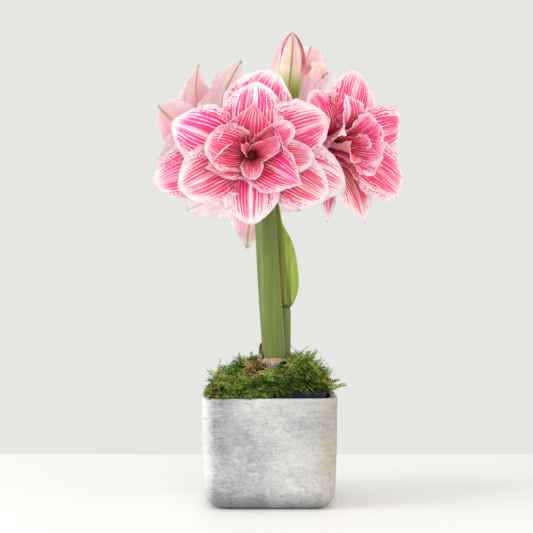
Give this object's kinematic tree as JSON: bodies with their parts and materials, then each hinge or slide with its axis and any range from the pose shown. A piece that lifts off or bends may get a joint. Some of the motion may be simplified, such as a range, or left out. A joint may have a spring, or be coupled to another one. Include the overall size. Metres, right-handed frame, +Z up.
{
  "type": "potted amaryllis",
  "caption": "Amaryllis in bloom with striped petals, growing from its bulb under moss in a square concrete pot.",
  "frame": {"origin": "centre of the pot's flat underside, on the surface it stands on", "axes": "+Z up; -Y towards the side that the largest open flower faces; +X to the right seen from there"},
  "size_m": [0.2842, 0.264, 0.5349],
  "materials": {
    "concrete": "matte",
    "black_plastic": "satin",
    "potting_soil": "matte",
    "bulb_skin": "satin",
    "papery_tunic": "matte",
    "leaf_base": "satin",
    "sheet_moss": "matte",
    "green_stem": "satin",
    "striped_petal": "satin"
  },
  "bodies": {
    "root": {"pot": "concrete", "nursery_pot": "black_plastic", "soil": "potting_soil", "bulb": "bulb_skin", "bulb_tunic": "papery_tunic", "leaf_stub_front": "leaf_base", "leaf_stub_rear": "leaf_base", "moss": "sheet_moss", "flower_stem": "green_stem", "bud_stem": "green_stem", "spathe_bud": "green_stem", "bloom_front": "striped_petal", "bloom_right": "striped_petal", "bloom_left": "striped_petal", "bloom_back": "striped_petal", "bloom_opening": "striped_petal", "flower_bud": "striped_petal"}
  },
  "joints": []
}
